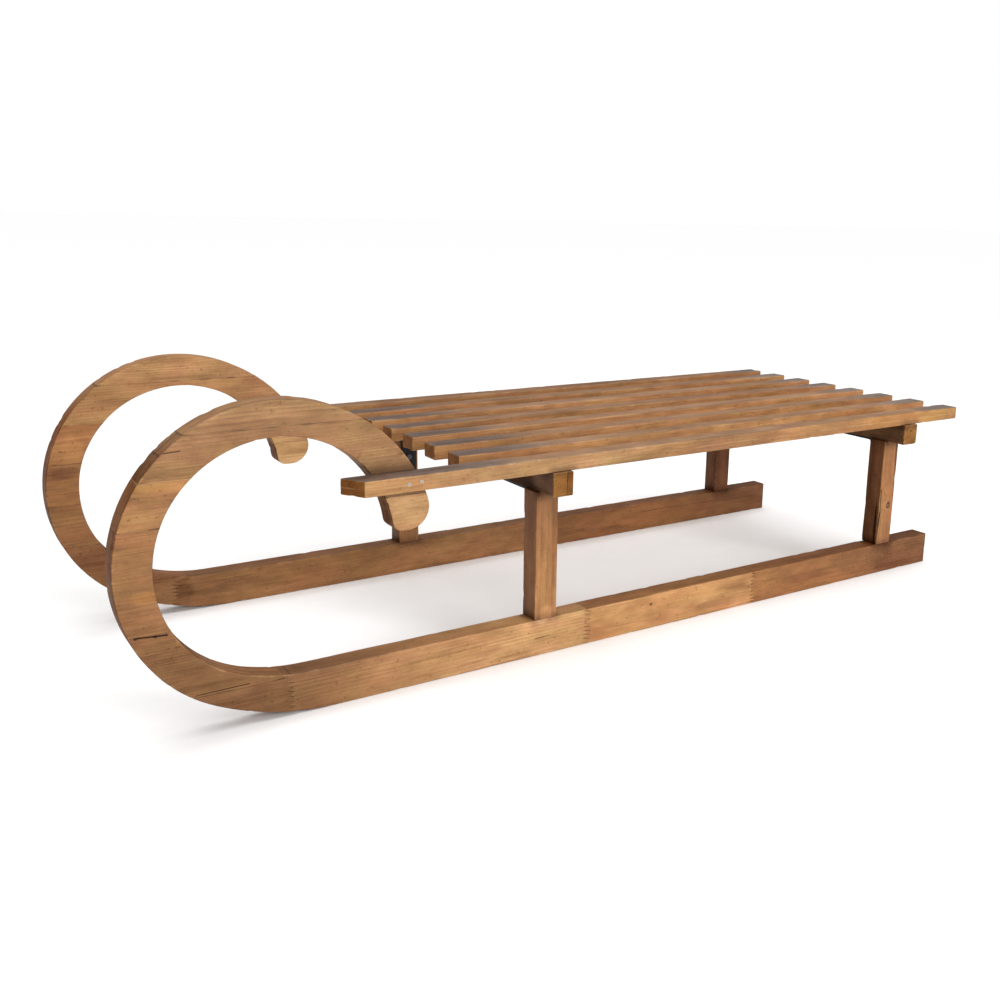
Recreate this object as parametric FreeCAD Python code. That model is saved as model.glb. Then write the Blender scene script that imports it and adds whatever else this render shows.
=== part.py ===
import FreeCAD, Part

import math
import os

# Wooden horned toboggan. Millimetres.
# +X points forward to the horns, +Y to the rider's left, +Z up.
# The origin is on the ground, under the middle of the sled's overall box.

Vec = FreeCAD.Vector

# ---- driving dimensions -------------------------------------------------
# Horn: a ring sawn from an edge-glued panel, with the runner bar under it.
horn_outer_radius = 156.0
horn_inner_radius = 120.0
horn_centre_z = 168.0
horn_rear_radius = 168.0        # the band widens a little towards the tongue
sole_blend_radius = 270.0       # outer curve from the ring into the flat sole
bar_blend_radius = 190.0        # inner curve from the ring into the bar's top
tongue_end_z = 176.0
tongue_rear_round = 24.0
tongue_front_round = 12.0
edge_round = 1.6

runner_thickness = 27.0
runner_outer_y = 188.0
bar_height = 44.0
runner_rear_overhang = {"left": 5.0, "right": 2.0}    # the seat slats pass the runners by this much

# Finger joints between lengths of runner bar.
finger_pitch = 5.0
finger_length = 9.0

# Posts and cross beams.
post_length_x = 30.0
post_height = 152.0
front_post_from_horn = 293.5    # horn centre to the front face of the post
rear_post_from_horn = 877.0
right_front_post_lead = 5.0     # the right front post stands a little further forward
beam_setback = 3.5              # beam front face behind the post's front face
beam_width = 27.0
beam_height = 28.0
beam_half_length = 217.0

# Seat slats.
slat_count = 8
slat_width = 26.5
slat_height = 17.0
seat_rear_from_horn = 995.0
inner_slat_front_from_horn = 212.0
outer_slat_front_from_horn = 77.5
outer_slat_mitre = 16.5         # the inner corner of the front end is longer

# Angle brackets in the corners between posts and beams.
bracket_leg = 60.0
bracket_width = 22.0
bracket_thickness = 2.5
bracket_bend_radius = 3.0
bracket_hole_offsets = (28.0, 50.0)
bracket_hole_radius = 2.3

# Screws.
bracket_screw_head_radius = 4.2
bracket_screw_head_height = 2.2
bracket_screw_radius = 1.9
bracket_screw_length = 17.0
horn_screw_head_radius = 1.8
horn_screw_head_height = 2.0
horn_screw_radius = 1.4
horn_screw_length = 38.0
horn_screws_from_horn = (125.5, 139.5)
horn_screw_z_offsets = (8.2, 10.0)    # above the underside of the slat
slat_screw_head_radius = 4.0
slat_screw_head_height = 2.6
slat_screw_radius = 2.0
slat_screw_length = 39.0
post_screw_head_radius = 5.0
post_screw_head_height = 3.2
post_screw_radius = 2.5
post_screw_length = 100.0
recess_radius = 0.7             # square drive recess in each screw head
recess_depth = 1.1
screw_point_ratio = 2.5         # length of a screw's point over its shank radius
pan_rounding_ratio = 0.55       # rounding of a pan head's rim over its height

# Glue lines of the two horn panels, heights above the ground.
glue_lines = {
    "left": (42.0, 114.0, 214.0, 258.0, 298.0),
    "right": (42.0, 104.0, 156.0, 205.0, 250.0, 294.0),
}
# The lowest panel board above the bar ends in a butt joint, this far ahead of the horn centre.
panel_butt_ahead = 3.0
# Finger joints of the two runner bars, measured back from the horn centre.
bar_joints = {
    "left": (4.0, 368.0, 637.0),
    "right": (-18.0, 512.0),
}

# ---- derived positions --------------------------------------------------
overall_length = seat_rear_from_horn + horn_outer_radius
horn_x = overall_length / 2 - horn_outer_radius
seat_rear_x = horn_x - seat_rear_from_horn
beam_bottom_z = bar_height + post_height
slat_bottom_z = beam_bottom_z + beam_height
outer_slat_y = runner_outer_y + slat_width / 2
slat_spacing = 2 * outer_slat_y / (slat_count - 1)
runner_middle_y = runner_outer_y - runner_thickness / 2
runner_inner_y = runner_outer_y - runner_thickness
post_front_x = {
    "front": horn_x - front_post_from_horn,
    "rear": horn_x - rear_post_from_horn,
}
side_sign = {"left": 1.0, "right": -1.0}
margin = 50.0                   # how far cutting tools reach past the wood
far_rear_x = seat_rear_x - margin
tolerance = 0.01                # for comparing positions

os.makedirs("parts", exist_ok=True)


def export(name, shape):
    shape.exportStep("parts/" + name + ".step")


def on_circle(centre_x, centre_z, radius, degrees):
    angle = math.radians(degrees)
    return Vec(centre_x + radius * math.cos(angle), 0, centre_z + radius * math.sin(angle))


def arc(centre_x, centre_z, radius, start_degrees, end_degrees):
    middle_degrees = (start_degrees + end_degrees) / 2
    points = [on_circle(centre_x, centre_z, radius, a) for a in (start_degrees, middle_degrees, end_degrees)]
    return Part.Arc(*points).toShape()


def line(start, end):
    return Part.LineSegment(start, end).toShape()


def box(x_low, x_high, y_low, y_high, z_low, z_high):
    return Part.makeBox(x_high - x_low, y_high - y_low, z_high - z_low, Vec(x_low, y_low, z_low))


def blend_below(ring_radius, blend_radius, flat_z):
    """Arc that leaves the ring tangentially and runs into a flat at flat_z.

    Returns its centre's x and z, and the angle where it meets the ring.
    """
    centre_distance = blend_radius - ring_radius
    centre_z = flat_z + blend_radius
    rise = centre_z - horn_centre_z
    centre_x = horn_x - math.sqrt(centre_distance ** 2 - rise ** 2)
    meeting_degrees = math.degrees(math.atan2(-rise, horn_x - centre_x))
    return centre_x, centre_z, meeting_degrees


def runner_outline(side):
    """Closed side outline of one whole runner, in the plane y = 0."""
    runner_rear_x = seat_rear_x + runner_rear_overhang[side]
    sole_x, sole_z, sole_degrees = blend_below(horn_outer_radius, sole_blend_radius, 0.0)
    top_x, top_z, top_degrees = blend_below(horn_inner_radius, bar_blend_radius, bar_height)
    rear_centre_z = horn_centre_z + horn_outer_radius - horn_rear_radius
    rear_tip_degrees = 180 - math.degrees(math.asin((tongue_end_z - rear_centre_z) / horn_rear_radius))
    inner_tip_degrees = 180 - math.degrees(math.asin((tongue_end_z - horn_centre_z) / horn_inner_radius))
    rear_tip = on_circle(horn_x, rear_centre_z, horn_rear_radius, rear_tip_degrees)
    inner_tip = on_circle(horn_x, horn_centre_z, horn_inner_radius, inner_tip_degrees)
    rear_bottom = Vec(runner_rear_x, 0, 0)
    rear_top = Vec(runner_rear_x, 0, bar_height)
    edges = [
        line(rear_bottom, Vec(sole_x, 0, 0)),
        arc(sole_x, sole_z, sole_blend_radius, -90, sole_degrees),
        arc(horn_x, horn_centre_z, horn_outer_radius, sole_degrees, 90),
        arc(horn_x, rear_centre_z, horn_rear_radius, 90, rear_tip_degrees),
        line(rear_tip, inner_tip),
        arc(horn_x, horn_centre_z, horn_inner_radius, inner_tip_degrees, top_degrees),
        arc(top_x, top_z, bar_blend_radius, top_degrees, -90),
        line(Vec(top_x, 0, bar_height), rear_top),
        line(rear_top, rear_bottom),
    ]
    return Part.Wire(edges)


def tongue_corners(solid):
    """The edges across the tongue's lower end, from the rear one to the front one."""
    corners = []
    for edge in solid.Edges:
        ends = [vertex.Point for vertex in edge.Vertexes]
        level = all(abs(end.z - tongue_end_z) < tolerance for end in ends)
        if len(ends) == 2 and level and abs(ends[0].x - ends[1].x) < tolerance:
            corners.append(edge)
    return sorted(corners, key=lambda edge: edge.Vertexes[0].Point.x)


def whole_runner(side):
    """The runner as sawn out, before it is divided into its glued pieces."""
    face = Part.Face(runner_outline(side))
    solid = face.extrude(Vec(0, runner_thickness, 0))
    solid = solid.makeFillet(tongue_rear_round, tongue_corners(solid)[:1])
    solid = solid.makeFillet(tongue_front_round, tongue_corners(solid)[-1:])
    long_edges = []
    for side_face in solid.Faces:
        if side_face.BoundBox.YLength < tolerance:
            long_edges.extend(side_face.Edges)
    solid = solid.makeFillet(edge_round, long_edges)
    low_y = runner_inner_y if side == "left" else -runner_outer_y
    solid.translate(Vec(0, low_y, 0))
    return solid


def finger_tool(x, x_low):
    """Everything behind a finger joint at x, down to x_low: a comb-edged block."""
    teeth = int(math.ceil(bar_height / finger_pitch)) + 2
    points = [Vec(x_low, 0, -finger_pitch)]
    for tooth in range(teeth):
        z = (tooth - 0.5) * finger_pitch
        points.append(Vec(x - finger_length / 2, 0, z - finger_pitch / 2))
        points.append(Vec(x + finger_length / 2, 0, z))
    points.append(Vec(x_low, 0, points[-1].z))
    points.append(points[0])
    face = Part.Face(Part.makePolygon(points))
    block = face.extrude(Vec(0, 2 * (runner_outer_y + margin), 0))
    block.translate(Vec(0, -runner_outer_y - margin, 0))
    return block


def band(z_low, z_high, x_low, x_high):
    return box(x_low, x_high, -runner_outer_y - margin, runner_outer_y + margin, z_low, z_high)


def split_at(bar, joint_x):
    """The two lengths of bar in front of and behind a finger joint.

    A fingertip that the curved sole cuts off its own side stays with the other side.
    """
    tool = finger_tool(joint_x, far_rear_x)
    in_front = sorted(bar.cut(tool).Solids, key=lambda solid: solid.Volume)
    behind = bar.common(tool)
    if len(in_front) > 1:
        behind = behind.fuse(in_front[:-1]).removeSplitter()
    return in_front[-1], behind


def runner_pieces(side):
    """The runner's glued pieces: bar lengths, then the horn boards from the bottom up."""
    runner = whole_runner(side)
    lines = glue_lines[side]
    far_front = horn_x + horn_outer_radius + margin
    butt_x = horn_x + panel_butt_ahead
    joints = [horn_x - distance for distance in bar_joints[side]]
    pieces = {}
    lowest = runner.common(band(-margin, lines[0], far_rear_x, far_front))
    bar_top = runner.common(band(lines[0], bar_height + finger_pitch, far_rear_x, butt_x))
    pieces["horn_foot"], rest = split_at(lowest, joints[0])
    rest = rest.fuse(bar_top).removeSplitter()
    for number, joint_x in enumerate(joints[1:]):
        pieces["bar_" + str(number + 1)], rest = split_at(rest, joint_x)
    pieces["bar_" + str(len(joints))] = rest
    bounds = list(lines) + [horn_centre_z + horn_outer_radius + margin]
    for number in range(len(lines)):
        rear_limit = butt_x if number == 0 else far_rear_x
        board = runner.common(band(bounds[number], bounds[number + 1], rear_limit, far_front))
        solids = sorted(board.Solids, key=lambda item: -item.CenterOfMass.x)
        label = "horn_board_" + str(number + 1)
        if len(solids) == 1:
            pieces[label] = solids[0]
        else:
            pieces[label + "_front"] = solids[0]
            pieces[label + "_rear"] = solids[1]
    return pieces


def screw(head_radius, head_height, radius, length):
    """Countersunk screw: head face at z = 0, point at z = -length."""
    head = Part.makeCone(radius, head_radius, head_height, Vec(0, 0, -head_height))
    point_height = screw_point_ratio * radius
    shank = Part.makeCylinder(radius, length - head_height - point_height, Vec(0, 0, point_height - length))
    point = Part.makeCone(0, radius, point_height, Vec(0, 0, -length))
    return head.fuse([shank, point]).removeSplitter()


def placed(shape, position, outward):
    """A copy of shape with its +Z turned to outward and its origin at position."""
    copy = shape.copy()
    copy.Placement = FreeCAD.Placement(position, FreeCAD.Rotation(Vec(0, 0, 1), outward))
    return copy


def screw_set(head_radius, head_height, radius, length, spots):
    """Screws at the spots, and the plain forms that cut their holes."""
    plain = screw(head_radius, head_height, radius, length)
    recess = Part.makeBox(2 * recess_radius, 2 * recess_radius, recess_depth)
    recess.translate(Vec(-recess_radius, -recess_radius, -recess_depth))
    slotted = plain.cut(recess)
    screws = [placed(slotted, position, outward) for position, outward in spots]
    cutters = [placed(plain, position, outward) for position, outward in spots]
    return screws, cutters


def cut_all(shape, cutters):
    near = [cutter for cutter in cutters if shape.BoundBox.intersect(cutter.BoundBox)]
    return shape.cut(near) if near else shape


def softened(solid):
    return solid.makeFillet(edge_round, solid.Edges)


def post_front(end, side):
    """Where the front face of a post stands."""
    lead = right_front_post_lead if (end, side) == ("front", "right") else 0.0
    return post_front_x[end] + lead


def post(end, side):
    front = post_front(end, side)
    low_y = runner_inner_y if side == "left" else -runner_outer_y
    solid = box(front - post_length_x, front, low_y, low_y + runner_thickness, bar_height, beam_bottom_z)
    upright = [edge for edge in solid.Edges if edge.BoundBox.ZLength > post_height / 2]
    return solid.makeFillet(edge_round, upright)


def beam(end):
    front = post_front_x[end] - beam_setback
    return softened(
        box(front - beam_width, front, -beam_half_length, beam_half_length, beam_bottom_z, slat_bottom_z)
    )


def slat(number):
    """Slat 1 is the left outer slat; the two outer slats run on past the horns' tongues."""
    middle = outer_slat_y - (number - 1) * slat_spacing
    outer = number in (1, slat_count)
    from_horn = outer_slat_front_from_horn if outer else inner_slat_front_from_horn
    mitre = outer_slat_mitre if outer else 0.0
    front = horn_x - from_horn
    outside = math.copysign(slat_width / 2, middle)
    corners = [
        Vec(seat_rear_x, middle + outside, slat_bottom_z),
        Vec(front, middle + outside, slat_bottom_z),
        Vec(front + mitre, middle - outside, slat_bottom_z),
        Vec(seat_rear_x, middle - outside, slat_bottom_z),
    ]
    face = Part.Face(Part.makePolygon(corners + [corners[0]]))
    return softened(face.extrude(Vec(0, 0, slat_height)))


def bracket(end, side):
    """Black steel angle: one leg down the post's inner face, one along the beam's underside."""
    sign = side_sign[side]
    middle_x = post_front(end, side) - post_length_x / 2
    corner_y = sign * runner_inner_y
    low_x = middle_x - bracket_width / 2
    flange_y = sorted((corner_y, corner_y - sign * bracket_leg))
    web_y = sorted((corner_y, corner_y - sign * bracket_thickness))
    high_x = low_x + bracket_width
    flange = box(low_x, high_x, *flange_y, beam_bottom_z - bracket_thickness, beam_bottom_z)
    web = box(low_x, high_x, *web_y, beam_bottom_z - bracket_leg, beam_bottom_z)
    angle = flange.fuse(web).removeSplitter()
    inside_y = corner_y - sign * bracket_thickness
    inside_z = beam_bottom_z - bracket_thickness
    bend = []
    for edge in angle.Edges:
        bounds = edge.BoundBox
        if bounds.XLength < bracket_width / 2:
            continue
        if abs(bounds.YMin - inside_y) < tolerance and abs(bounds.ZMin - inside_z) < tolerance:
            bend.append(edge)
    return angle.makeFillet(bracket_bend_radius, bend)


def bracket_spots(end, side):
    """Screw heads sit on the inner faces of both legs."""
    sign = side_sign[side]
    middle_x = post_front(end, side) - post_length_x / 2
    inside_y = sign * (runner_inner_y - bracket_thickness)
    inside_z = beam_bottom_z - bracket_thickness
    spots = []
    for offset in bracket_hole_offsets:
        spots.append((Vec(middle_x, inside_y, beam_bottom_z - offset), Vec(0, -sign, 0)))
        spots.append((Vec(middle_x, sign * (runner_inner_y - offset), inside_z), Vec(0, 0, -1)))
    return spots


def pan_screw():
    """Pan-head screw: the head's seat is at z = 0, the point at -Z."""
    head = Part.makeCylinder(bracket_screw_head_radius, bracket_screw_head_height)
    rim = [edge for edge in head.Edges if edge.BoundBox.ZMin > bracket_screw_head_height - tolerance]
    head = head.makeFillet(bracket_screw_head_height * pan_rounding_ratio, rim)
    point_height = screw_point_ratio * bracket_screw_radius
    shank_length = bracket_screw_length - point_height
    shank = Part.makeCylinder(bracket_screw_radius, shank_length, Vec(0, 0, -shank_length))
    point = Part.makeCone(0, bracket_screw_radius, point_height, Vec(0, 0, -bracket_screw_length))
    return head.fuse([shank, point]).removeSplitter()


def bracket_screws(spots):
    plain = pan_screw()
    recess = Part.makeBox(2 * recess_radius, 2 * recess_radius, recess_depth)
    recess.translate(Vec(-recess_radius, -recess_radius, bracket_screw_head_height - recess_depth))
    driven = plain.cut(recess)
    hole = Part.makeCylinder(bracket_hole_radius, margin, Vec(0, 0, -margin / 2))
    screws = [placed(driven, position, outward) for position, outward in spots]
    cutters = [placed(plain, position, outward) for position, outward in spots]
    holes = [placed(hole, position, outward) for position, outward in spots]
    return screws, cutters, holes


# ---- fasteners ----------------------------------------------------------
horn_screw_spots = []
for sign in side_sign.values():
    for distance, z_offset in zip(horn_screws_from_horn, horn_screw_z_offsets):
        head = Vec(horn_x - distance, sign * (runner_outer_y + slat_width), slat_bottom_z + z_offset)
        horn_screw_spots.append((head, Vec(0, sign, 0)))
horn_screws, horn_screw_cutters = screw_set(
    horn_screw_head_radius, horn_screw_head_height, horn_screw_radius, horn_screw_length, horn_screw_spots
)

slat_screws = {}
slat_screw_cutters = []
for end, front in post_front_x.items():
    middle_x = front - beam_setback - beam_width / 2
    spots = []
    for number in range(slat_count):
        y = outer_slat_y - number * slat_spacing
        spots.append((Vec(middle_x, y, beam_bottom_z), Vec(0, 0, -1)))
    slat_screws[end], cutters = screw_set(
        slat_screw_head_radius, slat_screw_head_height, slat_screw_radius, slat_screw_length, spots
    )
    slat_screw_cutters.extend(cutters)

post_screw_spots = []
for end in post_front_x:
    for side, sign in side_sign.items():
        middle_x = post_front(end, side) - post_length_x / 2
        post_screw_spots.append((Vec(middle_x, sign * runner_middle_y, 0), Vec(0, 0, -1)))
post_screws, post_screw_cutters = screw_set(
    post_screw_head_radius, post_screw_head_height, post_screw_radius, post_screw_length, post_screw_spots
)

bracket_screw_spots = []
for end in post_front_x:
    for side in side_sign:
        bracket_screw_spots.extend(bracket_spots(end, side))
bracket_fixings, bracket_cutters, bracket_holes = bracket_screws(bracket_screw_spots)

wood_cutters = horn_screw_cutters + slat_screw_cutters + post_screw_cutters + bracket_cutters

# ---- pieces -------------------------------------------------------------
for side in side_sign:
    for name, piece in runner_pieces(side).items():
        export(side + "_" + name, cut_all(piece, wood_cutters))
    for end in post_front_x:
        export(side + "_" + end + "_post", cut_all(post(end, side), wood_cutters))
        export(side + "_" + end + "_bracket", cut_all(bracket(end, side), bracket_holes))

for end in post_front_x:
    export(end + "_beam", cut_all(beam(end), wood_cutters))
    export(end + "_slat_screws", Part.makeCompound(slat_screws[end]))

for number in range(1, slat_count + 1):
    export("slat_" + str(number), cut_all(slat(number), wood_cutters))

export("horn_screws", Part.makeCompound(horn_screws))
export("post_screws", Part.makeCompound(post_screws))
export("bracket_screws", Part.makeCompound(bracket_fixings))
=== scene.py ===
import math

import bmesh
import bpy
from mathutils import Matrix, Vector, noise
from mathutils.bvhtree import BVHTree


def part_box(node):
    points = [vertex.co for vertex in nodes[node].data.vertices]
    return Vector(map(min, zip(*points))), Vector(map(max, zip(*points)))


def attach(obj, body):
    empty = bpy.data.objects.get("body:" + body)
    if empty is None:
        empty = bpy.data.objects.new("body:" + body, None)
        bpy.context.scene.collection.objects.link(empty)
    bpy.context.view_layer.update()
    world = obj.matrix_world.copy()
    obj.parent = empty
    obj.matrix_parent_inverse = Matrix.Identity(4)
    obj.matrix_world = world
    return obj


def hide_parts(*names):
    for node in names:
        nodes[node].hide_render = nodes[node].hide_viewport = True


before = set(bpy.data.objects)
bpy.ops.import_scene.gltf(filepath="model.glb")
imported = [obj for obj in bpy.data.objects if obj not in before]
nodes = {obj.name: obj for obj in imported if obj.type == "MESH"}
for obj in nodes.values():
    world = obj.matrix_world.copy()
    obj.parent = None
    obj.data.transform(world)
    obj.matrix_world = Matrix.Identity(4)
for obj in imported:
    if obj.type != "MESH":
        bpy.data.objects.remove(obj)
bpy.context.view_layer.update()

# Wooden horned toboggan, in metres: +X points to the horns, +Y to the rider's left, +Z up.
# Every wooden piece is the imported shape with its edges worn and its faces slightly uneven, in stained
# softwood of its own shade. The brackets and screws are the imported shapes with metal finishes.

MM = 0.001
X, Y, Z = 0, 1, 2

# ---- the sled's own measures -------------------------------------------
finger_pitch = 5.0 * MM         # teeth of the finger joints in the runner bars
finger_length = 9.0 * MM
seam_half = 0.65 * MM           # half the width of a glue line at its widest
wear_reach = 3.0 * MM           # how far from an edge the wear goes
dent_depth = 0.7 * MM           # how deep the worn edges are rubbed away
waviness = 0.12 * MM            # how uneven the faces are
nook_reach = 14.0 * MM          # how far the painted shade reaches from a neighbouring piece
slice_along = 8.0 * MM          # spacing of the rows of mesh along a batten
slice_across = 5.0 * MM         # and across any piece
slice_horn = 6.0 * MM           # and over a horn's boards
sharp_angle = math.radians(38.0)

# ---- colours of the wood ------------------------------------------------
light_wood = (0.405, 0.213, 0.088)
late_wood = (0.195, 0.086, 0.029)       # the dark band of each growth ring
worn_wood = (0.52, 0.325, 0.155)
grey_wood = (0.250, 0.160, 0.108)       # tops greyed by weathering and painted sheen: middle, front end and rear end
end_grey_wood = (0.150, 0.098, 0.074)
rear_grey_wood = (0.200, 0.158, 0.140)
knot_wood = (0.030, 0.012, 0.006)
seam_dark = (0.014, 0.007, 0.004)       # glue lines and cracks
stain_powers = (0.92, 1.12, 1.38)       # a heavier stain is also a redder one, and so is deeper painted shade
pale_tint = (1.0, 1.12, 1.30)           # what one step of paleness multiplies the colour by
red_tint = (0.94, 0.80, 0.68)
rosy_tint = (1.03, 0.96, 0.93)
golden_tint = (0.98, 1.01, 0.87)
end_tint = (0.46, 0.29, 0.05)           # what end grain's deeper stain multiplies the colour by
# painted shade where a piece comes near a neighbouring piece
nook_shade_tint = (0.30, 0.24, 0.20)
joint_tint = (0.30, 0.25, 0.22)
flat_joint_tint = (0.35, 0.30, 0.26)
rim_dark_tint = (0.76, 0.69, 0.66)
rim_light_tint = (1.28, 1.20, 1.14)

# ---- patterns in the wood -----------------------------------------------
grain_order = {"x": (X, Y, Z), "y": (Y, X, Z), "z": (Z, X, Y)}  # along, across and up the grain
seed_spread = (1.37, 2.11, 0.73)        # how far one step of a piece's seed moves its patterns
ring_width = 3.2 * MM
ring_unevenness = 1.6                   # in rings
ring_waves = 95.0                       # how many times a metre the rings' width changes
pith_lean = (0.010, 0.016)              # how far the pith strays across and up, for each metre along
drift = 30.0 * MM                       # how far the rings wander from a true cylinder
drift_waves = (1.6, 7.0, 7.0)
knot_stretch = (0.72, 1.0, 1.0)         # knots are longer along the grain
knot_waves = 260.0                      # raggedness of a knot's rim
knot_swell, swell_reach = 2.2, 5.0      # how far rings bulge round a knot, and how far out, in its radii

# ---- weathering, painted sheen and painted shade ------------------------
grey_low, grey_high = 0.33, 0.60        # how grey a slat's top is between its ends
grey_run = 130.0 * MM                   # how far in the heavier grey of its ends reaches
grey_raggedness = 50.0 * MM
end_stain = 0.8
rim_strength = 0.8
wear_strength = 0.62
nook_shade_strength = 0.62
knot_strength = 0.85
relief_depth = 0.25 * MM

# Each is its waves per metre along, across and up the grain, its octaves, and its roughness.
patterns = {
    "fibre": ((22.0, 850.0, 850.0), 3.0, 0.65),
    "streak": ((5.0, 130.0, 130.0), 3.0, 0.60),
    "pore": ((70.0, 1500.0, 1500.0), 1.0, 0.50),
    "cloud": ((6.0, 16.0, 16.0), 3.0, 0.55),
    "blotch": ((26.0, 60.0, 60.0), 4.0, 0.62),
    "smudge": ((7.0, 70.0, 70.0), 3.0, 0.60),
    "redness": ((5.0, 30.0, 30.0), 2.0, 0.50),
    "hue": ((14.0, 42.0, 42.0), 3.0, 0.60),
    "chip": ((45.0, 260.0, 260.0), 3.0, 0.60),
    "saw_mark": ((9.0, 330.0, 9.0), 3.0, 0.60),
    "speckle": ((420.0, 420.0, 420.0), 2.0, 0.70),
    "fleck": ((210.0, 210.0, 210.0), 1.0, 0.50),
}

# What the patterns multiply the stained colour by: (pattern, low, high, factor at low, factor at high).
shading = (
    ("cloud", 0.28, 0.72, 0.80, 1.16),
    ("streak", 0.25, 0.75, 0.86, 1.12),
    ("blotch", 0.28, 0.72, 0.80, 1.14),
    ("smudge", 0.52, 0.70, 1.00, 0.74),
    ("fleck", 0.68, 0.75, 1.00, 0.70),
    ("fibre", 0.25, 0.75, 0.88, 1.09),
    ("speckle", 0.20, 0.80, 0.93, 1.06),
    ("pore", 0.64, 0.74, 1.00, 0.78),
)


# ---- shader building ----------------------------------------------------
class Shader:
    """A material's node tree, with short calls for the nodes that the finishes use."""

    def __init__(self, name):
        self.material = bpy.data.materials.new(name)
        self.material.use_nodes = True
        self.tree = self.material.node_tree
        self.tree.nodes.clear()
        output = self.tree.nodes.new("ShaderNodeOutputMaterial")
        self.principled = self.tree.nodes.new("ShaderNodeBsdfPrincipled")
        self.tree.links.new(self.principled.outputs["BSDF"], output.inputs["Surface"])
        self.position = self.node("ShaderNodeTexCoord").outputs["Object"]

    def put(self, socket, value):
        """Links a socket, or sets its own value."""
        if isinstance(value, bpy.types.NodeSocket):
            self.tree.links.new(value, socket)
        else:
            socket.default_value = value

    def surface(self, **values):
        """Sets the shader's own sockets, named with underscores for spaces."""
        for key, value in values.items():
            self.put(self.principled.inputs[key.replace("_", " ")], value)

    def node(self, kind, inputs=(), **settings):
        made = self.tree.nodes.new(kind)
        for key, value in settings.items():
            setattr(made, key, value)
        for key, value in dict(inputs).items():
            self.put(made.inputs[key], value)
        return made

    def math(self, operation, a, b=0.0, c=0.0, clamp=False):
        made = self.node("ShaderNodeMath", operation=operation, use_clamp=clamp)
        for socket, value in zip(made.inputs, (a, b, c)):
            self.put(socket, value)
        return made.outputs[0]

    def times(self, a, b):
        return self.math("MULTIPLY", a, b)

    def distance(self, a, b):
        return self.math("ABSOLUTE", self.math("SUBTRACT", a, b))

    def split(self, vector):
        made = self.node("ShaderNodeSeparateXYZ", {"Vector": vector})
        return made.outputs[0], made.outputs[1], made.outputs[2]

    def join(self, x, y, z):
        return self.node("ShaderNodeCombineXYZ", {"X": x, "Y": y, "Z": z}).outputs[0]

    def scaled(self, vector, factors, offset=(0.0, 0.0, 0.0)):
        made = self.node("ShaderNodeVectorMath", operation="MULTIPLY_ADD")
        for socket, value in zip(made.inputs, (vector, factors, offset)):
            self.put(socket, value)
        return made.outputs[0]

    def length(self, vector):
        return self.node("ShaderNodeVectorMath", {0: vector}, operation="LENGTH").outputs["Value"]

    def noise_node(self, vector, detail, roughness=0.5):
        return self.node(
            "ShaderNodeTexNoise",
            {"Vector": vector, "Scale": 1.0, "Detail": detail, "Roughness": roughness},
        )

    def noise(self, vector, detail, roughness=0.5):
        return self.noise_node(vector, detail, roughness).outputs["Fac"]

    def even_noise(self, waves, detail, roughness=0.5):
        """Noise of one size in all directions, in waves per metre."""
        return self.noise(self.scaled(self.position, (waves,) * 3), detail, roughness)

    def step(self, value, low, high, at_low=0.0, at_high=1.0):
        """A smooth step from at_low at low to at_high at high."""
        made = self.node(
            "ShaderNodeMapRange",
            {"Value": value, "From Min": low, "From Max": high, "To Min": at_low, "To Max": at_high},
            interpolation_type="SMOOTHSTEP",
        )
        return made.outputs["Result"]

    def mix(self, share, a, b, blend="MIX"):
        made = self.node("ShaderNodeMix", data_type="RGBA", blend_type=blend, clamp_factor=True)
        self.put(made.inputs[0], share)
        for socket, value in ((made.inputs[6], a), (made.inputs[7], b)):
            self.put(socket, (*value, 1.0) if isinstance(value, tuple) else value)
        return made.outputs[2]

    def tint(self, colour, factors, share=1.0):
        return self.mix(share, colour, factors, "MULTIPLY")

    def attribute(self, name):
        return self.node("ShaderNodeAttribute", attribute_name=name).outputs["Fac"]

    def bump(self, height, strength, distance):
        made = self.node("ShaderNodeBump", {"Strength": strength, "Distance": distance, "Height": height})
        return made.outputs["Normal"]


class Wood(Shader):
    """A wooden piece's material, with its patterns laid along the grain."""

    def __init__(self, name, grain, seed):
        super().__init__(name)
        self.seed = seed
        self.axes = self.split(self.position)
        self.order = grain_order[grain]
        self.along, self.across, self.up = (self.axes[axis] for axis in self.order)
        self.in_grain = self.join(self.along, self.across, self.up)
        self.offset = tuple(seed * spread for spread in seed_spread)
        self.facing = self.split(self.node("ShaderNodeNewGeometry").outputs["Normal"])
        self.on_side = self.step(self.math("ABSOLUTE", self.facing[Y]), 0.6, 0.9)
        self.made = {}

    def pattern(self, name):
        """A pattern's value. One that has the same size along and across doesn't follow the grain."""
        if name not in self.made:
            waves, detail, roughness = patterns[name]
            space = self.position if waves[0] == waves[1] else self.in_grain
            self.made[name] = self.noise(self.scaled(space, waves, self.offset), detail, roughness)
        return self.made[name]


# ---- wood ---------------------------------------------------------------
def knot_masks(s, knots):
    """Where the knots are, one mask each, and how much they all swell the growth rings round them."""
    masks = []
    swell = 0.0
    for place, radius in knots:
        centre = tuple(-place[axis] * stretch for axis, stretch in zip(s.order, knot_stretch))
        length = s.length(s.scaled(s.in_grain, knot_stretch, centre))
        ragged = s.math("MULTIPLY_ADD", s.even_noise(knot_waves, 1.0), 0.5 * radius, length)
        heart = s.step(ragged, 0.70 * radius, 0.40 * radius, 1.0, 0.35)
        masks.append(s.times(s.step(ragged, 1.35 * radius, 0.95 * radius), heart))
        bulge = s.step(length, swell_reach * radius, 0.0, 0.0, knot_swell * radius)
        swell = s.math("ADD", swell, bulge)
    return masks, swell


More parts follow.
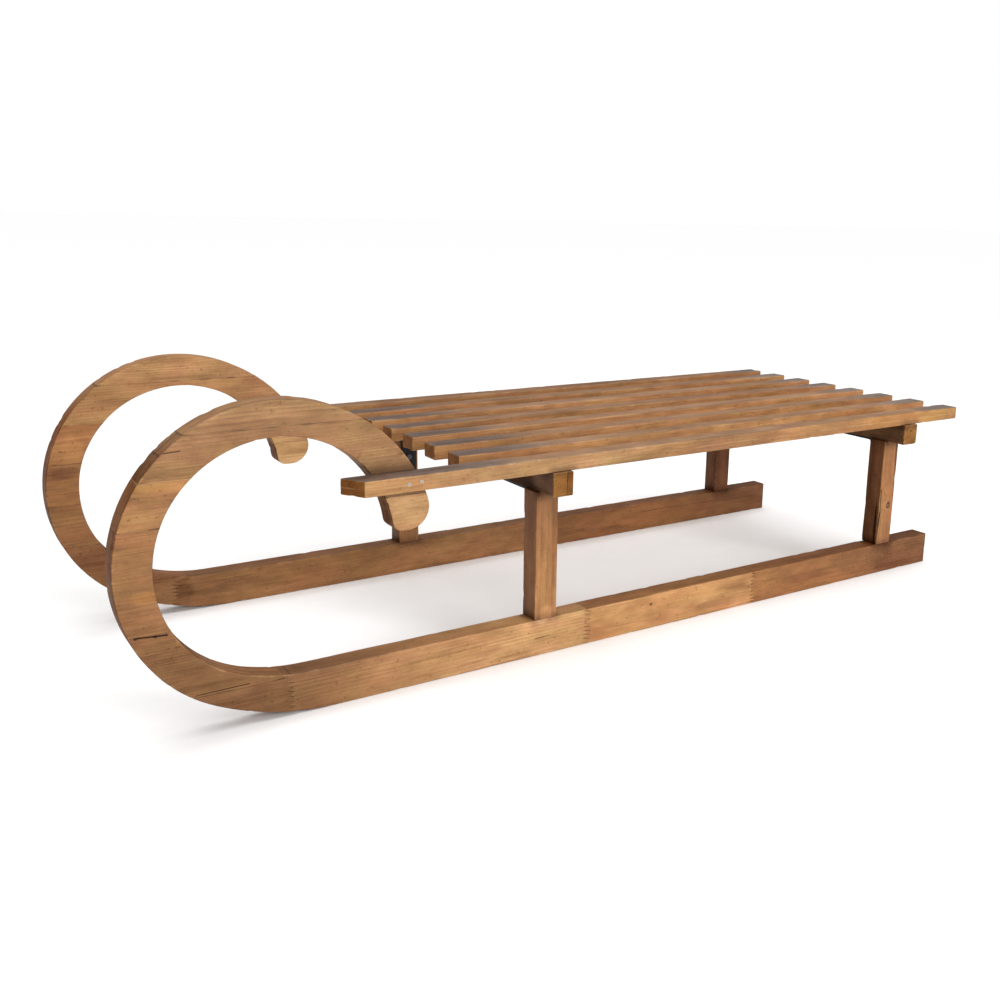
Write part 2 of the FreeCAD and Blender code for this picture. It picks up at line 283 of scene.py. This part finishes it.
def late_bands(s, ring, pith, swell):
    """The late wood of the growth rings, round a pith outside the piece that runs slightly askew to it."""
    wander = s.noise_node(s.scaled(s.in_grain, drift_waves, s.offset), 2.0).outputs["Color"]
    shifts = s.split(s.scaled(wander, (drift,) * 3, (-drift / 2,) * 3))
    squares = 0.0
    for place, shift, start, lean in zip((s.across, s.up), shifts[1:], pith, pith_lean):
        away = s.math("ADD", s.math("ADD", place, shift), s.math("MULTIPLY_ADD", s.along, lean, start))
        squares = s.math("ADD", s.times(away, away), squares)
    radius = s.math("ADD", s.math("SQRT", squares), swell)
    uneven = s.times(s.noise(s.join(s.times(radius, ring_waves), s.seed * 3.1, 0.0), 1.0), ring_unevenness)
    phase = s.math("FRACT", s.math("ADD", s.times(radius, 1.0 / ring), uneven))
    return s.times(s.step(phase, 0.20, 0.84), s.step(phase, 1.0, 0.84))


def stain_depth(s, tone, front, top, fades):
    """How light the stain is. Forward and upward faces get painted shade of their own, and the run of a fade
    its own factors.
    """
    shade = tone
    for name, low, high, at_low, at_high in shading:
        shade = s.times(s.step(s.pattern(name), low, high, at_low, at_high), shade)
    # Painted shade: the faces that point forward and up are darkened for how light falls on them.
    for axis, factor in ((X, front), (Z, top)):
        shade = s.times(shade, s.step(s.facing[axis], 0.5, 0.8, 1.0, factor))
    for axis, start, end, at_start, at_end in fades:
        shade = s.times(shade, s.step(s.axes[axis], start, end, at_start, at_end))
    return shade


def bare_colour(s, late, contrast, red, pale):
    """The wood's colour before the depth of its stain: rings, redder and more golden patches, paleness."""
    late_share = s.times(late, s.step(s.pattern("streak"), 0.34, 0.70, 0.02 * contrast, 0.46 * contrast))
    colour = s.mix(late_share, light_wood, late_wood)
    colour = s.tint(colour, red_tint, s.step(s.pattern("redness"), 0.3, 0.7, 0.10 + red, 0.50 + red))
    colour = s.tint(colour, s.mix(s.step(s.pattern("hue"), 0.36, 0.64), rosy_tint, golden_tint))
    return s.tint(colour, tuple(value ** pale for value in pale_tint))


def weathered_top(s, colour, stain_and_shade, front_x, rear_x):
    """Greys the top of a slat, most of all near its two ends: weathering, and painted sheen on the top."""
    cloud = s.pattern("cloud")
    cloudy_x = s.math("MULTIPLY_ADD", cloud, grey_raggedness, s.axes[X])
    near_front = s.step(cloudy_x, front_x - grey_run, front_x)
    near_rear = s.step(cloudy_x, rear_x + grey_run, rear_x + 30.0 * MM)
    near_end = s.math("MAXIMUM", near_front, near_rear)
    share = s.math("ADD", s.step(cloud, 0.25, 0.75, grey_low, grey_high), near_end, clamp=True)
    share = s.times(s.step(s.facing[Z], 0.4, 0.9), share)
    grey = s.mix(near_rear, s.mix(near_front, grey_wood, end_grey_wood), rear_grey_wood)
    return s.mix(share, colour, s.tint(grey, stain_and_shade))


def sawn_rim(s, colour):
    """Streaks the rims of the horns, which the saw left rough."""
    share = s.times(s.step(s.math("ABSOLUTE", s.facing[Y]), 0.6, 0.3), rim_strength)
    streaks = s.mix(s.step(s.pattern("saw_mark"), 0.42, 0.66), rim_dark_tint, rim_light_tint)
    return s.tint(colour, streaks, share)


def spotted(s, colour, place, radii, factors):
    """Tints a soft-edged spot, an ellipsoid with its centre at place."""
    away = s.scaled(s.position, tuple(1.0 / r for r in radii), tuple(-p / r for p, r in zip(place, radii)))
    ragged = s.math("MULTIPLY_ADD", s.pattern("speckle"), 0.3, s.length(away))
    ragged = s.math("MULTIPLY_ADD", s.pattern("streak"), 0.5, ragged)
    return s.tint(colour, factors, s.step(ragged, 1.5, 0.9))


def cracked(s, colour, start_x, start_z, end_x, end_z, half_width, strength):
    """Draws a dark crack in the side faces, from one point to another."""
    run_x, run_z = end_x - start_x, end_z - start_z
    squared = run_x * run_x + run_z * run_z
    away_x = s.math("SUBTRACT", s.axes[X], start_x)
    away_z = s.math("SUBTRACT", s.axes[Z], start_z)
    share = s.math("MULTIPLY_ADD", away_x, run_x / squared, s.times(away_z, run_z / squared), clamp=True)
    off_x = s.math("SUBTRACT", away_x, s.times(share, run_x))
    off_z = s.math("SUBTRACT", away_z, s.times(share, run_z))
    away = s.math("SQRT", s.math("ADD", s.times(off_x, off_x), s.times(off_z, off_z)))
    wander = s.math("MULTIPLY_ADD", s.pattern("streak"), 2.4 * half_width, -1.1 * half_width)
    line = s.times(s.step(s.math("ADD", away, wander), 1.6 * half_width, 0.5 * half_width), s.on_side)
    return s.mix(s.times(line, strength), colour, seam_dark)


def glued(s, colour, height, strength):
    """Draws a level glue line, dark, or light where strength is negative. Also returns where it is open."""
    wander = s.noise(s.join(s.times(s.axes[X], 30.0), height * 50.0, 0.0), 2.0)
    away = s.distance(s.axes[Z], height)
    half = s.times(s.step(wander, 0.42, 0.62), seam_half)
    soft_line = s.times(s.step(s.math("SUBTRACT", away, half), 0.5 * MM, 0.0), abs(strength))
    soft_line = s.times(soft_line, s.step(wander, 0.34, 0.56, 0.12, 1.0))
    colour = s.mix(soft_line, colour, seam_dark if strength > 0 else worn_wood)
    return colour, s.math("LESS_THAN", away, half)


def finger_jointed(s, colour, joint_x, strength):
    """Draws a finger joint: a comb on the side faces, a straight line across the others."""
    teeth = s.times(s.axes[Z], 1.0 / finger_pitch)
    tooth = s.math("PINGPONG", s.times(teeth, 2.0), 1.0)
    line_x = s.math("MULTIPLY_ADD", tooth, finger_length, joint_x - finger_length / 2)
    gap = s.noise(s.join(joint_x * 90.0, 0.0, s.times(s.axes[Z], 170.0)), 1.0)
    flank = s.step(s.math("FRACT", teeth), 0.5, 0.6, 1.0, 0.35)
    gap = s.times(s.step(gap, 0.34, 0.60, 0.25, 1.0), flank)
    line = s.times(s.step(s.distance(s.axes[X], line_x), 3.0 * MM, 0.6 * MM), s.times(s.on_side, strength))
    colour = s.tint(colour, joint_tint, s.times(line, gap))
    flat_line = s.step(s.distance(s.axes[X], joint_x), 1.2 * MM, 0.4 * MM)
    off_side = s.times(s.math("SUBTRACT", 1.0, s.on_side), 0.6)
    return s.tint(colour, flat_joint_tint, s.times(flat_line, off_side))


def wood(name, grain, seed, pith, tone, red=0.0, pale=0.0, front=1.0, top=1.0, contrast=1.0,
         ring=ring_width, rim=False, grey_ends=None, fades=(), knots=(), spots=(), cracks=(), seams=(),
         fingers=()):
    """Stained softwood with its grain along one axis of the sled.

    tone, red and pale set the piece's own shade, and front and top are painted shade, factors on the faces
    that point forward and up. contrast is that of the growth rings, ring their width and pith their centre.
    rim is
    True for a horn's boards. grey_ends are the front and rear x of a top greyed by weathering and painted
    sheen.
    fades are (axis, from, to, factor at from, factor at to). knots are (place, radius). spots are (place,
    radii, factors). cracks are (x, z, x, z, half width, strength). seams are (height, strength). fingers are
    (x, strength).
    """
    s = Wood(name, grain, seed)
    masks, swell = knot_masks(s, knots)
    late = late_bands(s, ring, pith, swell)
    shade = stain_depth(s, tone, front, top, fades)
    # The stain's colour, with the painted shade of the forward and upward faces in it.
    stain_and_shade = s.join(*(s.math("POWER", shade, power) for power in stain_powers))
    colour = s.tint(bare_colour(s, late, contrast, red, pale), stain_and_shade)

    end_share = s.step(s.math("ABSOLUTE", s.facing[s.order[0]]), 0.55, 0.85)
    colour = s.tint(colour, end_tint, s.times(end_share, end_stain))
    # The slats' tops are greyed: partly weathering, partly painted sheen.
    if grey_ends:
        colour = weathered_top(s, colour, stain_and_shade, *grey_ends)
    if rim:
        colour = sawn_rim(s, colour)

    # Worn edges, and painted shade near the neighbouring pieces.
    ragged = s.math("MULTIPLY_ADD", s.pattern("chip"), 5.0 * MM, s.attribute("edge"))
    wear = s.times(s.step(ragged, 3.0 * MM, 1.3 * MM), s.step(s.pattern("blotch"), 0.42, 0.62, 0.08, 1.0))
    colour = s.mix(s.times(wear, wear_strength), colour, s.mix(0.55, colour, worn_wood))
    nook = s.step(s.attribute("nook"), 0.9 * nook_reach, 0.5 * MM)
    colour = s.tint(colour, nook_shade_tint, s.times(nook, nook_shade_strength))

    for mask in masks:
        colour = s.mix(s.times(mask, knot_strength), colour, knot_wood)
    for spot in spots:
        colour = spotted(s, colour, *spot)
    for crack in cracks:
        colour = cracked(s, colour, *crack)
    groove = 0.0
    for seam in seams:
        colour, line = glued(s, colour, *seam)
        groove = s.math("MAXIMUM", groove, line)
    for finger in fingers:
        colour = finger_jointed(s, colour, *finger)

    # End grain and dark marks have the least sheen.
    fibre = s.pattern("fibre")
    relief = s.math("ADD", s.times(late, 0.45), s.times(fibre, 0.9))
    relief = s.math("SUBTRACT", relief, s.times(s.step(s.pattern("pore"), 0.64, 0.74), 0.5))
    relief = s.math("SUBTRACT", relief, s.times(groove, 2.5))
    rough = s.math("MULTIPLY_ADD", wear, 0.10, s.times(late, -0.07))
    rough = s.math("ADD", s.math("MULTIPLY_ADD", fibre, 0.16, rough), 0.50)
    sheen = s.times(s.step(colour, 0.0, 0.09, 0.04, 0.30), s.math("MULTIPLY_ADD", end_share, -0.7, 1.0))
    normal = s.bump(relief, 0.55, relief_depth)
    s.surface(Base_Color=colour, Roughness=rough, Specular_IOR_Level=sheen, Normal=normal)
    return s.material


# ---- metal --------------------------------------------------------------
def black_paint(name):
    """Black lacquered steel, a little dusty and chipped."""
    s = Shader(name)
    cloud = s.even_noise(45.0, 4.0, 0.6)
    colour = s.mix(s.step(cloud, 0.35, 0.75), (0.003, 0.003, 0.0035), (0.012, 0.011, 0.011))
    colour = s.mix(s.step(s.even_noise(260.0, 3.0, 0.7), 0.70, 0.76), colour, (0.05, 0.045, 0.04))
    rough = s.math("MULTIPLY_ADD", cloud, 0.3, 0.35)
    grit = s.bump(s.even_noise(900.0, 2.0, 0.7), 0.35, 0.12 * MM)
    s.surface(Base_Color=colour, Roughness=rough, Specular_IOR_Level=0.25, Normal=grit)
    return s.material


def plated_steel(name, clean, tarnished, roughness):
    """Screw metal with dull spots and a fine grit."""
    s = Shader(name)
    cloud = s.even_noise(420.0, 4.0, 0.65)
    colour = s.mix(s.step(cloud, 0.42, 0.70), clean, tarnished)
    rough = s.math("MULTIPLY_ADD", cloud, 0.25, roughness)
    grit = s.bump(s.even_noise(1800.0, 2.0, 0.7), 0.3, 0.08 * MM)
    s.surface(Base_Color=colour, Metallic=1.0, Roughness=rough, Normal=grit)
    return s.material


# ---- worn wooden shapes -------------------------------------------------
def smooth(value, low, high):
    share = min(max((value - low) / (high - low), 0.0), 1.0)
    return share * share * (3.0 - 2.0 * share)


def is_edge_face(face, curved):
    """True for the rounding along an edge. curved pieces are the sawn runner pieces."""
    parts = [abs(value) for value in face.normal]
    if curved:
        return 0.05 < parts[1] < 0.95
    longest = max(edge.calc_length() for edge in face.edges)
    narrow = 2.0 * face.calc_area() / longest < 1.0 * MM
    return narrow and sum(value > 0.05 for value in parts) >= 2


def tree_of(bm, faces):
    corners = [vert.co.copy() for vert in bm.verts]
    return BVHTree.FromPolygons(corners, [[vert.index for vert in face.verts] for face in faces])


def slice_up(bm, axis, spacing):
    """Cuts the mesh into even rows along one axis."""
    values = [vert.co[axis] for vert in bm.verts]
    low, high = min(values), max(values)
    cuts = int((high - low) / spacing)
    direction = Vector([float(i == axis) for i in range(3)])
    for number in range(1, cuts + 1):
        place = direction * (low + (high - low) * number / (cuts + 1))
        everything = bm.verts[:] + bm.edges[:] + bm.faces[:]
        bmesh.ops.bisect_plane(bm, geom=everything, dist=0.01 * MM, plane_co=place, plane_no=direction)


def group_of(node):
    """The runner that a node is glued into, or the node itself. No painted shade is drawn between glued
    pieces.
    """
    return node.split("_")[0] + "_runner" if "_bar_" in node or "_horn_" in node else node


def neighbours_of(node, trees):
    """The trees of the pieces that come within reach of a node and aren't glued to it."""
    low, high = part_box(node)
    reach = Vector((nook_reach,) * 3)
    found = []
    for other, (tree, other_low, other_high) in trees.items():
        apart = any(other_low[i] > (high + reach)[i] or other_high[i] < (low - reach)[i] for i in range(3))
        if group_of(other) != group_of(node) and not apart:
            found.append(tree)
    return found


def wear_depth(place, edge_distance):
    """How far in a point moves: a faint waviness, and dents and rubbing near the edges."""
    at_edge = 1.0 - smooth(edge_distance, 0.0, wear_reach)
    rub = smooth(noise.noise(place * 23.0), 0.05, 0.65)
    dent = smooth(noise.noise(place * 90.0 + Vector((7.0, 3.0, 5.0))), 0.25, 0.6)
    wave = 0.5 + 0.5 * noise.noise(place * 26.0 + Vector((2.0, 9.0, 4.0)))
    return waviness * wave + dent_depth * at_edge * max(0.35 * rub, dent)


def worn_copy(node, curved, spacing, trees, material):
    """Replaces a CAD node with a copy that has more rows of mesh, worn edges and slightly uneven faces."""
    bm = bmesh.new()
    bm.from_mesh(nodes[node].data)
    bmesh.ops.remove_doubles(bm, verts=bm.verts[:], dist=0.002 * MM)
    bm.verts.index_update()
    bm.normal_update()
    edges = tree_of(bm, [face for face in bm.faces if is_edge_face(face, curved)])
    for axis in sorted(range(3), key=lambda i: spacing[i]):
        slice_up(bm, axis, spacing[axis])
    bmesh.ops.remove_doubles(bm, verts=bm.verts[:], dist=0.02 * MM)
    bm.normal_update()
    neighbours = neighbours_of(node, trees)
    edge_layer = bm.verts.layers.float.new("edge")
    nook_layer = bm.verts.layers.float.new("nook")
    moves = []
    for vert in bm.verts:
        edge_distance = edges.find_nearest(vert.co)[3]
        found = [tree.find_nearest(vert.co, nook_reach)[3] for tree in neighbours]
        vert[edge_layer] = edge_distance
        vert[nook_layer] = min([nook_reach] + [distance for distance in found if distance is not None])
        moves.append(vert.normal * -wear_depth(vert.co, edge_distance))
    for vert, move in zip(bm.verts, moves):
        vert.co += move
    mesh = bpy.data.meshes.new(node + "_wood")
    bm.to_mesh(mesh)
    bm.free()
    mesh.materials.append(material)
    mesh.shade_smooth()
    mesh.set_sharp_from_angle(angle=sharp_angle)
    piece = bpy.data.objects.new(node + "_wood", mesh)
    bpy.context.scene.collection.objects.link(piece)
    weighted = piece.modifiers.new("weighted_normals", "WEIGHTED_NORMAL")
    weighted.keep_sharp = True
    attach(piece, "root")
    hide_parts(node)


def node_tree(node):
    bm = bmesh.new()
    bm.from_mesh(nodes[node].data)
    bmesh.ops.triangulate(bm, faces=bm.faces[:])
    tree = BVHTree.FromBMesh(bm)
    bm.free()
    return (tree, *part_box(node))


# ---- each piece's own wood ----------------------------------------------
pieces = {}


def add(node, **look):
    pieces[node] = look


def glue_lines(side, boards):
    """The heights of the glue lines under a horn's boards."""
    return [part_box(side + "_horn_board_" + board)[0].z for board in boards]


def rear_joint(node):
    """The x of the finger joint at the rear end of a length of a runner."""
    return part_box(node)[0].x + finger_length / 2


left_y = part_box("left_bar_1")[1].y      # the left runner's outer face
right_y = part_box("right_bar_1")[1].y    # the right runner's inner face
beam_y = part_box("front_beam")[1].y      # the beams' left ends
beam_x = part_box("front_beam")[1].x      # the front beam's front face
slat_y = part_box("slat_1")[1].y          # the left outer slat's outer face
left_1, left_2, left_3, left_4, left_5 = glue_lines("left", ("1", "2_front", "3_front", "4", "5"))
left_3 += 0.5 * MM                      # drawn half a millimetre above the joint
right_1, right_2, right_3, right_4, right_5, right_6 = glue_lines(
    "right", ("1", "2", "3_front", "4_front", "5", "6")
)
left_foot_joint = rear_joint("left_horn_foot")
left_front_joint = rear_joint("left_bar_1")
left_rear_joint = rear_joint("left_bar_2")
right_foot_joint = rear_joint("right_horn_foot")
right_joint = rear_joint("right_bar_1")

# Left runner.
add("left_horn_board_5", seed=1.0, tone=0.80, pale=1.0, ring=3.4 * MM, seams=((left_5, 0.45),))
add("left_horn_board_4", seed=2.0, tone=0.69, pale=0.75, fades=((X, 0.32, 0.46, 1.0, 0.92),),
    seams=((left_5, 0.45), (left_4, -0.35)), fingers=((0.5270, 0.35),),
    cracks=((0.5294, 0.2827, 0.5084, 0.2842, 0.5 * MM, 0.8),))
add("left_horn_board_3_front", seed=3.0, tone=0.80, seams=((left_3, 0.6), (left_4, -0.35)),
    spots=(((0.525, left_y, 0.252), (0.034, 0.010, 0.005), (1.16, 1.18, 1.02)),))
add("left_horn_board_3_rear", seed=4.0, tone=0.63, pale=1.3, red=0.1, front=0.62, contrast=0.7,
    seams=((left_3, 0.3),))
add("left_horn_board_2_front", seed=5.0, tone=0.74, seams=((left_2, 0.6), (left_3, 0.6)),
    spots=(((0.549, left_y, 0.151), (0.015, 0.010, 0.007), (1.22, 1.22, 0.95)),))
add("left_horn_board_2_rear", seed=6.0, tone=1.02, pale=1.0, red=0.25, front=0.62, contrast=0.4)
add("left_horn_board_1", seed=7.0, tone=0.47, pale=0.3, seams=((left_2, 0.7), (left_1, 0.4)),
    cracks=((0.560, 0.1136, 0.531, 0.1114, 0.7 * MM, 0.95),
            (0.5066, 0.0445, 0.4573, 0.0450, 0.6 * MM, 0.8)),
    knots=(((0.5416, left_y, 0.1118), 1.6 * MM), ((0.559, left_y, 0.1128), 1.3 * MM)))
add("left_horn_foot", seed=8.0, tone=0.42, pale=0.3, seams=((left_1, 0.4),),
    fingers=((left_foot_joint, 0.12),))
add("left_bar_1", seed=9.0, tone=1.30, pale=0.6, top=0.72, fades=((X, 0.18, 0.42, 1.0, 0.40),),
    fingers=((left_foot_joint, 0.12), (left_front_joint, 0.7)),
    cracks=((0.1251, 0.0214, 0.1058, 0.0223, 0.5 * MM, 0.7),),
    spots=(((0.116, left_y, 0.046), (0.010, 0.010, 0.010), (1.3, 1.4, 1.6)),))
add("left_bar_2", seed=10.0, tone=1.12, pale=-0.1, top=0.58,
    fingers=((left_front_joint, 0.8), (left_rear_joint, 0.5)), knots=(((-0.0448, left_y, 0.0318), 2.0 * MM),))
add("left_bar_3", seed=11.0, tone=0.66, pale=-1.1, red=-0.1, top=0.72, contrast=1.2,
    fingers=((left_rear_joint, 0.5),), fades=((X, -0.52, -0.26, 0.62, 1.14),),
    spots=(((-0.468, left_y, 0.030), (0.034, 0.012, 0.026), (0.74, 0.70, 0.66)),
           ((-0.4737, left_y, 0.0256), (0.0016, 0.004, 0.0016), (1.9, 2.1, 2.6))))

# Right runner.
add("right_horn_board_6", seed=12.0, tone=1.06, pale=0.3, seams=((right_6, 0.5),))
add("right_horn_board_5", seed=13.0, tone=0.92, seams=((right_6, 0.5), (right_5, 0.4)))
add("right_horn_board_4_front", seed=14.0, tone=0.84, pale=-0.7, seams=((right_4, 0.3),),
    spots=(((0.543, right_y, 0.224), (0.014, 0.010, 0.018), (1.22, 1.26, 1.25)),))
add("right_horn_board_4_rear", seed=15.0, tone=1.15, pale=0.5)
add("right_horn_board_3_front", seed=16.0, tone=0.70, pale=-0.7, seams=((right_3, 0.4), (right_4, 0.3)),
    spots=(((0.553, right_y, 0.195), (0.024, 0.010, 0.008), (0.60, 0.54, 0.48)),))
add("right_horn_board_3_rear", seed=17.0, tone=1.5, pale=0.7, front=0.5)
add("right_horn_board_2", seed=18.0, tone=0.56, pale=-0.5, seams=((right_2, 0.6),))
add("right_horn_board_1", seed=19.0, tone=0.50, pale=-0.5, seams=((right_2, 0.6), (right_1, 0.5)))
add("right_horn_foot", seed=20.0, tone=0.62, seams=((right_1, -0.5),), fingers=((right_foot_joint, 0.9),))
add("right_bar_1", seed=21.0, tone=0.62, red=0.2, top=0.78,
    fingers=((right_foot_joint, 0.9), (right_joint, 0.5)),
    spots=(((0.428, right_y, 0.026), (0.014, 0.012, 0.020), (0.72, 0.68, 0.62)),))
add("right_bar_2", seed=22.0, tone=0.60, red=0.2, pale=-0.7, top=0.78, fingers=((right_joint, 0.5),),
    fades=((X, -0.54, -0.38, 0.56, 1.0),),
    cracks=((-0.30, 0.030, -0.46, 0.029, 0.4 * MM, 0.5), (-0.505, 0.018, -0.573, 0.019, 0.4 * MM, 0.6)))

# Posts and beams.
add("left_front_post", seed=23.0, grain="z", tone=0.69, pale=-0.4, front=0.70,
    fades=((Z, 0.10, 0.17, 1.08, 0.84),),
    spots=(((0.110, left_y, 0.050), (0.012, 0.010, 0.012), (1.35, 1.45, 1.6)),))
add("left_rear_post", seed=24.0, grain="z", tone=0.68, pale=-1.0, front=0.46,
    knots=(((-0.4765, left_y, 0.1009), 4.2 * MM),), fades=((Z, 0.05, 0.13, 0.85, 1.0),),
    spots=(((-0.486, left_y, 0.180), (0.006, 0.012, 0.050), (0.45, 0.40, 0.36)),
           ((-0.4575, 0.183, 0.074), (0.004, 0.0022, 0.036), (0.16, 0.12, 0.10))),
    cracks=((-0.4595, 0.125, -0.4605, 0.091, 0.8 * MM, 0.9),
            (-0.4605, 0.091, -0.4570, 0.050, 1.4 * MM, 0.95)))
add("right_front_post", seed=25.0, grain="z", tone=0.72, red=0.35, front=0.62)
add("right_rear_post", seed=26.0, grain="z", tone=0.36, pale=-1.8)
# The front beam's first spot is a painted shadow of the slats on its front face.
add("front_beam", seed=27.0, grain="y", tone=1.0, pale=1.0, front=0.28,
    spots=(((beam_x, 0.148, 0.202), (0.006, 0.040, 0.040), (0.36, 0.26, 0.18)),
           ((0.0985, beam_y, 0.210), (0.007, 0.005, 0.030), (0.78, 0.70, 0.62))),
    knots=(((beam_x, 0.1928, 0.2077), 1.0 * MM),), cracks=((0.1035, 0.2235, 0.1045, 0.197, 0.5 * MM, 0.7),))
add("rear_beam", seed=28.0, grain="y", tone=1.03, pale=1.2, front=0.24,
    knots=(((-0.4743, beam_y, 0.2152), 1.8 * MM),))

# Slats, from the rider's left to the right.
for number, tone in enumerate((0.90, 0.90, 0.86, 0.90, 0.79, 0.85, 0.80, 0.72), start=1):
    slat = "slat_" + str(number)
    slat_low, slat_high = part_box(slat)
    add(slat, seed=30.0 + number, tone=tone, pale=-0.35, contrast=0.8, grey_ends=(slat_high.x, slat_low.x))
pieces["slat_1"].update(
    pale=0.0, seams=((0.232, -0.2),), grey_ends=(0.27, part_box("slat_1")[0].x),
    spots=(((0.130, slat_y, 0.233), (0.160, 0.007, 0.030), (1.06, 1.24, 1.38)),
           ((-0.145, slat_y, 0.233), (0.090, 0.007, 0.030), (0.68, 0.64, 0.62)),
           ((-0.470, slat_y, 0.233), (0.130, 0.007, 0.030), (0.93, 0.90, 0.68))),
)

# Each kind of piece: its slot and the spacing of its rows of mesh along X, Y and Z.
kinds = {
    "_horn_": ("horn_wood", (slice_horn, slice_across, slice_horn)),
    "_bar_": ("runner_wood", (slice_along, slice_across, slice_across)),
    "_post": ("frame_wood", (slice_across, slice_across, slice_along)),
    "_beam": ("frame_wood", (slice_across, slice_along, slice_across)),
    "slat_": ("slat_wood", (slice_along, slice_across, slice_across)),
}

trees = {node: node_tree(node) for node in pieces}
for node, look in pieces.items():
    kind = next(key for key in kinds if key in node)
    slot, spacing = kinds[kind]
    grain = look.pop("grain", "x")
    seed = look.pop("seed")
    low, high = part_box(node)
    middle = (low + high) / 2
    centre = [middle[axis] for axis in grain_order[grain][1:]]
    pith = (0.05 * math.sin(seed * 5.0) - centre[0], 0.06 + 0.03 * math.cos(seed * 3.0) - centre[1])
    material = wood(node + "_stained_pine", grain, seed, pith, rim=kind == "_horn_", **look)
    worn_copy(node, kind in ("_horn_", "_bar_"), spacing, trees, material)

# ---- the steel pieces' finishes -----------------------------------------
paint = black_paint("black_lacquered_steel")
bright = plated_steel("bright_zinc", (0.42, 0.40, 0.37), (0.20, 0.17, 0.14), 0.32)
dark = plated_steel("dark_phosphate", (0.10, 0.10, 0.105), (0.06, 0.05, 0.045), 0.38)
dull = plated_steel("dull_zinc", (0.48, 0.47, 0.45), (0.28, 0.25, 0.22), 0.36)
finishes = {
    "left_front_bracket": paint, "right_front_bracket": paint,
    "left_rear_bracket": paint, "right_rear_bracket": paint,
    "horn_screws": bright, "bracket_screws": dark, "post_screws": dull,
    "front_slat_screws": dull, "rear_slat_screws": dull,
}
for node, finish in finishes.items():
    nodes[node].data.materials.clear()
    nodes[node].data.materials.append(finish)

# ---- studio -------------------------------------------------------------
floor_half = 60.0
key_place, key_aim = Vector((-0.9, 3.2, 1.3)), Vector((0.0, 0.0, 0.15))
key_size, key_power = 1.8, 88.0
overhead_strength, overhead_spread = 2.35, math.radians(70.0)
seen_background, lighting_background = 1.0, 0.38     # the world as the camera sees it, and as it lights


def stage_material():
    s = Shader("studio_floor")
    s.surface(
        Base_Color=s.mix(s.even_noise(35.0, 3.0), (0.90, 0.90, 0.90), (0.93, 0.93, 0.93)),
        Roughness=0.8,
    )
    return s.material


floor_mesh = bpy.data.meshes.new("floor")
floor_corners = [(x * floor_half, y * floor_half, 0) for x, y in ((-1, -1), (1, -1), (1, 1), (-1, 1))]
floor_mesh.from_pydata(floor_corners, [], [(0, 1, 2, 3)])
floor_mesh.materials.append(stage_material())
floor = bpy.data.objects.new("floor", floor_mesh)
bpy.context.scene.collection.objects.link(floor)

key_data = bpy.data.lights.new("key", "AREA")
key_data.shape = "DISK"
key_data.size = key_size
key_data.energy = key_power
key = bpy.data.objects.new("key", key_data)
key.location = key_place
key.rotation_mode = "QUATERNION"
key.rotation_quaternion = (key_aim - key_place).to_track_quat("-Z", "Y")
bpy.context.scene.collection.objects.link(key)

overhead_data = bpy.data.lights.new("overhead", "SUN")
overhead_data.energy = overhead_strength
overhead_data.angle = overhead_spread
overhead = bpy.data.objects.new("overhead", overhead_data)
bpy.context.scene.collection.objects.link(overhead)

world = bpy.data.worlds.new("studio")
world.use_nodes = True
bpy.context.scene.world = world
background = world.node_tree.nodes["Background"]
background.inputs["Color"].default_value = (1.0, 1.0, 1.0, 1.0)
light_path = world.node_tree.nodes.new("ShaderNodeLightPath")
strength = world.node_tree.nodes.new("ShaderNodeMapRange")
world.node_tree.links.new(light_path.outputs["Is Camera Ray"], strength.inputs["Value"])
strength.inputs["To Min"].default_value = lighting_background
strength.inputs["To Max"].default_value = seen_background
world.node_tree.links.new(strength.outputs["Result"], background.inputs["Strength"])

# ---- camera -------------------------------------------------------------
camera_place = Vector((0.7492, 1.1653, 0.4988))
camera_yaw, camera_pitch, camera_roll = -2.1670, -0.2379, -0.0214
camera_data = bpy.data.cameras.new("camera")
camera_data.sensor_width = 36.0
camera_data.clip_end = 400.0
camera_data.lens = 38.57
camera_data.shift_x = -0.0665
camera_data.shift_y = -0.0253
camera = bpy.data.objects.new("camera", camera_data)
ahead = Vector((
    math.cos(camera_pitch) * math.cos(camera_yaw),
    math.cos(camera_pitch) * math.sin(camera_yaw),
    math.sin(camera_pitch),
))
right = ahead.cross(Vector((0.0, 0.0, 1.0))).normalized()
down = ahead.cross(right)
turned_right = right * math.cos(camera_roll) + down * math.sin(camera_roll)
turned_down = down * math.cos(camera_roll) - right * math.sin(camera_roll)
turn = Matrix((turned_right, -turned_down, -ahead)).transposed().to_4x4()
camera.matrix_world = Matrix.Translation(camera_place) @ turn
bpy.context.scene.collection.objects.link(camera)
bpy.context.scene.camera = camera
bpy.context.scene.view_settings.view_transform = "Standard"
